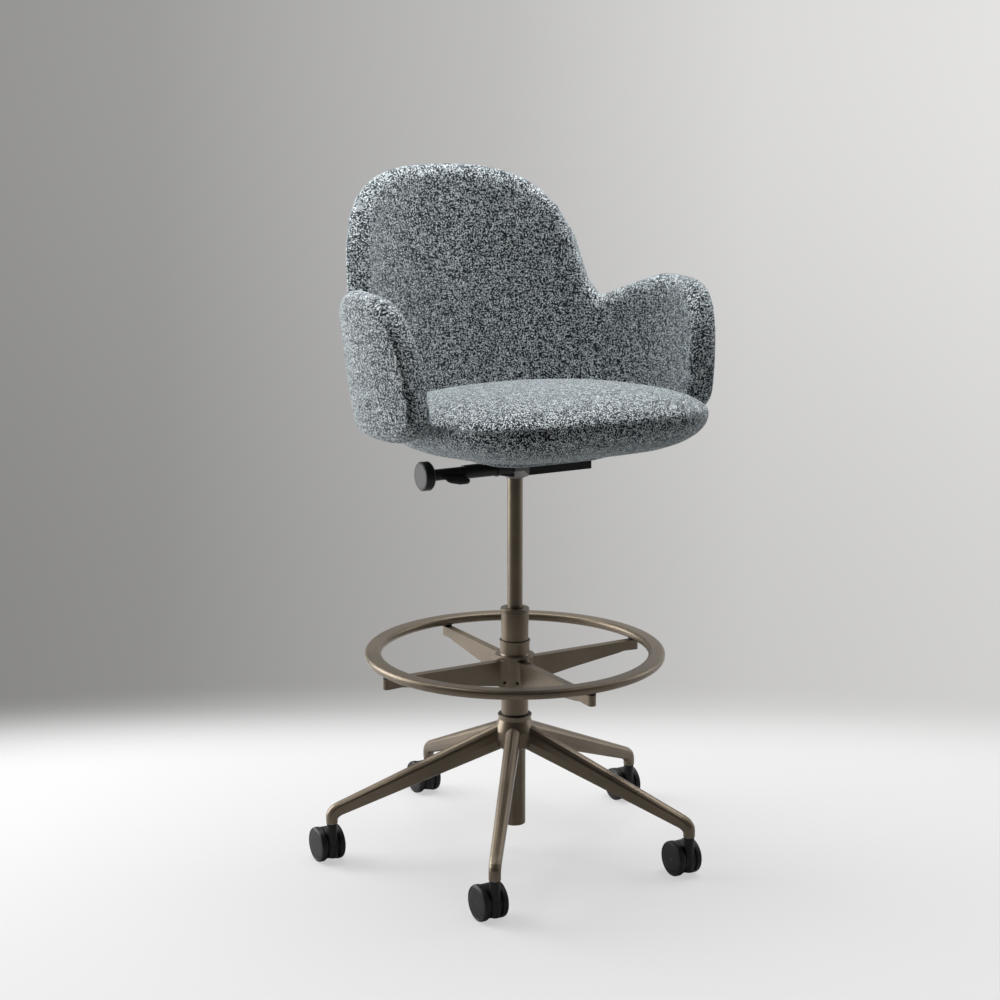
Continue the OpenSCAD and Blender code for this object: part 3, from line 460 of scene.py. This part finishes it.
# %% [markdown]
# ## Upholstery cloth
# The cloth is a coarse plain weave. Blue-grey yarn is spun with teal, cream and black
# fibres, so each crossing of two threads has its own tone, and a thread keeps a little of
# its tone along its length. The pattern runs on a place attribute that each soft piece
# carries: along the piece, through its thickness, and up it, as the cloth was pulled over it.
# A second attribute tells where the cloth turns over an edge.

# %% Threads
PITCH = 0.0015
THREAD_RUN = 7
TURNED = (0.70, 0.72)
WOBBLE = 0.15


def random_tone(cloth, first, second):
    """A number from 0 to 1 for each pair of whole numbers."""
    pair = cloth.node("ShaderNodeCombineXYZ", {}, [first, second, 0.0])
    return cloth.node("ShaderNodeTexWhiteNoise", {"noise_dimensions": "2D"}, {"Vector": pair})


def whole(cloth, value):
    return cloth.node("ShaderNodeMath", {"operation": "FLOOR"}, [value])


def to_and_fro(cloth, value, top):
    """A value that climbs to top and falls back to 0, over and over."""
    return cloth.node("ShaderNodeMath", {"operation": "PINGPONG"}, [value, top])


def thread_tone(cloth, thread, way):
    """The tone of one thread, which changes every few crossings along its way."""
    stretch = way / THREAD_RUN + random_tone(cloth, thread, 0.0) * THREAD_RUN
    return random_tone(cloth, thread, whole(cloth, stretch))


def thread_counts(cloth, place):
    """How many threads along and how many up the cloth a point lies.

    Where the cloth turns over an edge, the count goes on through the thickness.
    """
    along, through, up = cloth.parts(place)
    lean = cloth.node("ShaderNodeAttribute", {"attribute_name": "cloth_lean"}, out="Vector")
    lean_along, _, lean_up = cloth.parts(lean)
    warp = cloth.node("ShaderNodeMix", {}, {0: cloth.clamp(lean_along, *TURNED), 2: along, 3: through})
    weft = cloth.node("ShaderNodeMix", {}, {0: cloth.clamp(lean_up, *TURNED), 2: up, 3: through})
    wobble = cloth.noise(place, 40.0, 2.0) * WOBBLE
    return warp / PITCH + wobble, weft / PITCH + wobble


print("weave pitch", PITCH)

# %% The weave
YARN = [(0.30, colour(8, 12, 17)), (0.50, colour(26, 35, 42)), (0.58, colour(80, 92, 100)),
        (0.68, colour(206, 218, 222)), (0.82, colour(232, 238, 238))]
SHADED_GAP_WIDTH = 0.06
WEAVE_DEPTH = 0.0011


def weave():
    cloth = Finish("melange_weave")
    place = cloth.node("ShaderNodeAttribute", {"attribute_name": "cloth_place"}, out="Vector")
    warp, weft = thread_counts(cloth, place)
    column, row = whole(cloth, warp), whole(cloth, weft)
    # On every other crossing the thread that runs up the cloth lies on top.
    parity = to_and_fro(cloth, column + row, 1.0)
    upright, level = thread_tone(cloth, column, weft), thread_tone(cloth, row, warp)
    thread = cloth.node("ShaderNodeMix", {}, {0: parity, 2: upright, 3: level})
    tone = random_tone(cloth, column, row) * 0.62 + thread * 0.30 + parity * 0.08
    yarn = cloth.node("ShaderNodeValToRGB", {"stops": YARN}, [tone])
    # Near each thread's border the colour turns a dark blue-grey: painted shade in the gaps between the
    # threads.
    raised = cloth.node("ShaderNodeMath", {"operation": "MINIMUM"},
                        [to_and_fro(cloth, warp, 0.5), to_and_fro(cloth, weft, 0.5)])
    shade = cloth.blend(cloth.clamp(raised, 0.0, SHADED_GAP_WIDTH), rgba(40, 47, 52), yarn)
    drawn = cloth.node("ShaderNodeMapping", {}, {"Vector": place, "Scale": (190.0, 60.0, 16.0)})
    slub = cloth.clamp(cloth.noise(drawn, 1.0, 2.0), 0.42, 0.70, 0.0, 0.12)
    shade = cloth.blend(slub, shade, rgba(84, 96, 104))
    fibre = cloth.noise(place, 1500.0, 2.0)
    height = raised * 1.6 + tone * 0.5 + fibre * 0.3
    return cloth.close(Base_Color=shade, Roughness=fibre * 0.1 + 0.82, Sheen_Weight=0.40,
                       Sheen_Roughness=0.35, Sheen_Tint=(0.80, 0.88, 0.92, 1),
                       Specular_IOR_Level=0.22, Normal=cloth.relief(height, 0.55, WEAVE_DEPTH))


melange = weave()
print("cloth", melange.name, "with", len(melange.node_tree.nodes), "nodes")

# %% [markdown]
# ## Soft pieces, from a solid to a sewn cover
# A cushion is foam in a tight cover, so its faces are never quite even. Each soft solid is
# copied, and its bores and the board's pocket are closed. The closed copy serves as a mould:
# a second copy is remeshed to even squares, relaxed, drawn back onto the mould and taken in
# by a hair. A short cloth simulation with some pressure and no gravity then fills it out,
# and the move of each point is capped, so that the piece keeps its designed outline.

# %% Walls that the cover hides
bar_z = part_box("seat_frame")[1].z - 0.006
board_low, board_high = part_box("seat_board")
BAR_ROWS = (-0.130, -0.020)
SPINE_FRONT = -0.14
POST_X = 0.110
BAR_BORE = 0.0068
SCREW_ROWS = (-0.115, 0.040)
SCREW_X = 0.045
SCREW_BORE = 0.0036
POCKET_SLACK = 0.0005
POCKET_EDGE = 1.06


def in_a_bore(c):
    """Whether a point is in a hole of the steel bars or of the wood screws."""
    rise = c.z - bar_z
    from_bar = min(abs(c.y - row) for row in BAR_ROWS)
    from_screw = min(abs(c.y - row) for row in SCREW_ROWS)
    bar = math.hypot(from_bar, rise) < BAR_BORE
    spine = math.hypot(c.x, rise) < BAR_BORE and c.y > SPINE_FRONT
    post = rise < 0 and math.hypot(abs(c.x) - POST_X, from_bar) < BAR_BORE
    screw = c.z < board_low.z and math.hypot(abs(c.x) - SCREW_X, from_screw) < SCREW_BORE
    return bar or spine or post or screw


def in_the_board(c):
    """Whether a point is on the wall of the pocket that holds the seat board."""
    middle, half = (board_low + board_high) / 2, (board_high - board_low) / 2
    share = ((c.x - middle.x) / half.x) ** 4 + ((c.y - middle.y) / half.y) ** 4
    return abs(c.z - middle.z) < half.z + POCKET_SLACK and share < POCKET_EDGE


def hidden_walls(mesh):
    middles = [(face, face.calc_center_median()) for face in mesh.faces]
    return [face for face, c in middles if in_a_bore(c) or in_the_board(c)]


print("bars at", round(bar_z, 4))

# %% An even copy of a closed solid
VOXEL = 0.0060
MERGE = 2e-5


def read(piece, kind):
    """The places or the normals of a piece's points, one row for each."""
    values = np.empty(len(piece.data.vertices) * 3)
    piece.data.vertices.foreach_get(kind, values)
    return values.reshape(-1, 3)


def write_places(piece, places):
    piece.data.vertices.foreach_set("co", places.ravel())
    piece.data.update()


def apply_modifiers(piece):
    graph = bpy.context.evaluated_depsgraph_get()
    graph.update()
    done = bpy.data.meshes.new_from_object(piece.evaluated_get(graph))
    piece.modifiers.clear()
    piece.data = done


def smooth(piece, name, times):
    modifier = piece.modifiers.new(name, "SMOOTH")
    modifier.factor = 0.5
    modifier.iterations = times


def closed_shape(node, name):
    mesh = bmesh.new()
    mesh.from_mesh(nodes[node].data)
    bmesh.ops.remove_doubles(mesh, verts=mesh.verts[:], dist=MERGE)
    bmesh.ops.delete(mesh, geom=hidden_walls(mesh), context="FACES")
    bmesh.ops.holes_fill(mesh, edges=[e for e in mesh.edges if e.is_boundary], sides=0)
    bmesh.ops.recalc_face_normals(mesh, faces=mesh.faces[:])
    shape = bpy.data.meshes.new(name)
    mesh.to_mesh(shape)
    mesh.free()
    return shape


def soft_copy(node, name, inset):
    shape = closed_shape(node, name)
    mould = bpy.data.objects.new("mould", shape)
    piece = bpy.data.objects.new(name, shape.copy())
    for thing in (mould, piece):
        scene.collection.objects.link(thing)
    remesh = piece.modifiers.new("even", "REMESH")
    remesh.mode = "VOXEL"
    remesh.voxel_size = VOXEL
    smooth(piece, "relax", 6)
    wrap = piece.modifiers.new("wrap", "SHRINKWRAP")
    wrap.target = mould
    smooth(piece, "settle", 2)
    apply_modifiers(piece)
    bpy.data.objects.remove(mould)
    write_places(piece, read(piece, "co") - read(piece, "normal") * inset)
    return piece


print("squares of", VOXEL * 1000, "mm")

# %% The cover filled out
PRESSURE = 4.0
COVER_MASS = 0.3
STRETCH, SHEAR, BEND = 12, 6, 0.6
CLOTH_FRAMES = 20


def fill_out(piece, cap):
    """Cloth with pressure, then the move of each point held to cap metres."""
    before = read(piece, "co")
    cloth = piece.modifiers.new("cover", "CLOTH")
    settings = cloth.settings
    settings.quality = 4
    settings.mass = COVER_MASS
    settings.tension_stiffness = settings.compression_stiffness = STRETCH
    settings.shear_stiffness = SHEAR
    settings.bending_stiffness = BEND
    settings.use_pressure = True
    settings.uniform_pressure_force = PRESSURE
    settings.effector_weights.gravity = 0
    cloth.collision_settings.use_collision = False
    cloth.point_cache.frame_end = CLOTH_FRAMES
    for frame_number in range(1, CLOTH_FRAMES + 1):
        scene.frame_set(frame_number)
    apply_modifiers(piece)
    scene.frame_set(1)
    move = read(piece, "co") - before
    length = np.linalg.norm(move, axis=1, keepdims=True)
    held = cap * np.tanh(length / cap) / np.maximum(length, 1e-9)
    write_places(piece, before + move * held)
    print(piece.name, "moved by up to", round(float(length.max()) * 1000, 1), "mm, held to", cap * 1000)


print("cloth runs for", CLOTH_FRAMES, "frames")

# %% [markdown]
# ## Where the cloth lies
# The cover of the back was cut flat and pulled round a curve, so its threads follow that
# curve. Each point stores how far it is along the shell's plan line, how far off it, and how
# high up. The seat's cover spreads from the middle of the cushion over its edge, so there
# a point stores its distance along the surface instead of its straight distance.

# %% Cloth places on the shell
SHELL = {"half": 0.2939, "back": 0.2533, "front": 0.346, "mid": -0.0541,
         "lean_back": 0.21, "lean_side": 0.10, "zero": 0.830}
ARM_END_TURN = 112
PLAN_POINTS = 449
BACK_POWERS = (2.044, 2.044)
ARM_POWERS = (2.151, 1.973)
BATCH = 4000


def plan_line():
    """The shell's middle line at its zero height, from one arm's end round the back to the other."""
    points = []
    for turn in np.linspace(-ARM_END_TURN, ARM_END_TURN, PLAN_POINTS):
        s, c = math.sin(math.radians(turn)), math.cos(math.radians(turn))
        fore = abs(turn) > 90
        power_x, power_y = ARM_POWERS if fore else BACK_POWERS
        depth = SHELL["front"] if fore else SHELL["back"]
        points.append((SHELL["half"] * math.copysign(abs(s) ** (2 / power_x), s),
                       depth * math.copysign(abs(c) ** (2 / power_y), c)))
    return np.array(points)


def store_cloth(piece, place, lean):
    for name, values in (("cloth_place", place), ("cloth_lean", lean)):
        attribute = piece.data.attributes.new(name, "FLOAT_VECTOR", "POINT")
        attribute.data.foreach_set("vector", np.ascontiguousarray(values, np.float32).ravel())


def lay_cloth_on_shell(piece):
    co, turn = read(piece, "co"), read(piece, "normal")
    # The shell widens as it rises, so each point is first brought down to the plan line's height.
    rise = co[:, 2] - SHELL["zero"]
    x = co[:, 0] * SHELL["half"] / (SHELL["half"] + SHELL["lean_side"] * rise)
    y = co[:, 1] - SHELL["mid"]
    y = np.where(y > 0, y * SHELL["back"] / (SHELL["back"] + SHELL["lean_back"] * rise), y)
    here = np.stack([x, y], 1)
    line = plan_line()
    step = np.diff(line, axis=0)
    reach = np.concatenate([[0], np.cumsum(np.linalg.norm(step, axis=1))])
    nearest = np.empty(len(co), int)
    for start in range(0, len(co), BATCH):
        gap = here[start:start + BATCH, None, :] - line[None, :, :]
        nearest[start:start + BATCH] = (gap ** 2).sum(2).argmin(1)
    nearest = np.clip(nearest, 1, len(line) - 2)
    way = line[nearest + 1] - line[nearest - 1]
    way /= np.linalg.norm(way, axis=1, keepdims=True)
    off = here - line[nearest]
    along = reach[nearest] + (off * way).sum(1)
    through = off[:, 0] * way[:, 1] - off[:, 1] * way[:, 0]
    lean_along = np.abs((turn[:, :2] * way).sum(1))
    store_cloth(piece, np.stack([along, through, co[:, 2]], 1),
                np.stack([lean_along, np.zeros(len(co)), np.abs(turn[:, 2])], 1))


steps = np.linalg.norm(np.diff(plan_line(), axis=0), axis=1)
print("plan line", round(float(steps.sum()), 3), "m long")

# %% Cloth places on the seat
SEAT = {"half": 0.263, "front": 0.268, "back": 0.248, "mid": -0.0769, "edge": 0.8348, "fall": 0.06}
SEAT_POWER_BACK = 2.3
SEAT_POWER_FRONT = 3.7


def seat_edge():
    """Distance of the cushion's edge line from its middle, for each direction seen from there."""
    turn = np.radians(np.arange(0.0, 361.0, 2.0))
    s, c = np.sin(turn), np.cos(turn)
    power = np.where(s > 0, SEAT_POWER_BACK, SEAT_POWER_FRONT)
    depth = np.where(s > 0, SEAT["back"], SEAT["front"])
    x = SEAT["half"] * np.sign(c) * np.abs(c) ** (2 / power)
    y = depth * np.sign(s) * np.abs(s) ** (2 / power)
    way = np.degrees(np.arctan2(y, x)) % 360
    order = np.argsort(way)
    return way[order], np.hypot(x, y)[order]


def lay_cloth_on_seat(piece):
    co = read(piece, "co")
    centre = np.array([0.0, SEAT["mid"]])
    flat = co[:, :2] - centre
    away = np.maximum(np.linalg.norm(flat, axis=1), 1e-6)
    ways, reaches = seat_edge()
    way = np.degrees(np.arctan2(flat[:, 1], flat[:, 0])) % 360
    edge = np.interp(way, ways, reaches, period=360)
    lift = co[:, 2] - SEAT["edge"] + SEAT["fall"] * flat[:, 1]
    over = np.hypot(edge - away, lift * np.clip(away / edge, 0, 1))
    under = np.hypot(edge - away, lift)
    spread = np.where(lift > 0, edge - over, edge + under)
    spread = np.where((lift > 0) & (away > edge), edge + over, spread)
    place = centre + flat / away[:, None] * spread[:, None]
    store_cloth(piece, np.stack([place[:, 0], np.zeros(len(co)), place[:, 1]], 1), np.zeros_like(co))


reaches = seat_edge()[1]
print("seat edge from", round(float(reaches.min()), 3), "to", round(float(reaches.max()), 3), "m")

# %% [markdown]
# ## The shell and the cushion
# The back and the arms are one upholstered shell, and the cushion lies in it. Both go through
# the same steps and differ only in how far the cover may swell and how the cloth lies. One
# subdivision at the end rounds off what the even squares left.

# %% The soft pieces
INSET = 0.0002


def soft_piece(node, name, cap, lay):
    piece = soft_copy(node, name, INSET)
    fill_out(piece, cap)
    lay(piece)
    piece.data.polygons.foreach_set("use_smooth", [True] * len(piece.data.polygons))
    finer = piece.modifiers.new("finer", "SUBSURF")
    finer.levels = finer.render_levels = 1
    piece.data.materials.clear()
    piece.data.materials.append(melange)
    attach(piece, "seat")
    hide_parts(node)
    print(name, len(piece.data.polygons), "faces before the last subdivision")


soft_piece("shell_upholstery", "back_and_arms", 0.0012, lay_cloth_on_shell)
soft_piece("seat_cushion", "seat_pad", 0.0020, lay_cloth_on_seat)
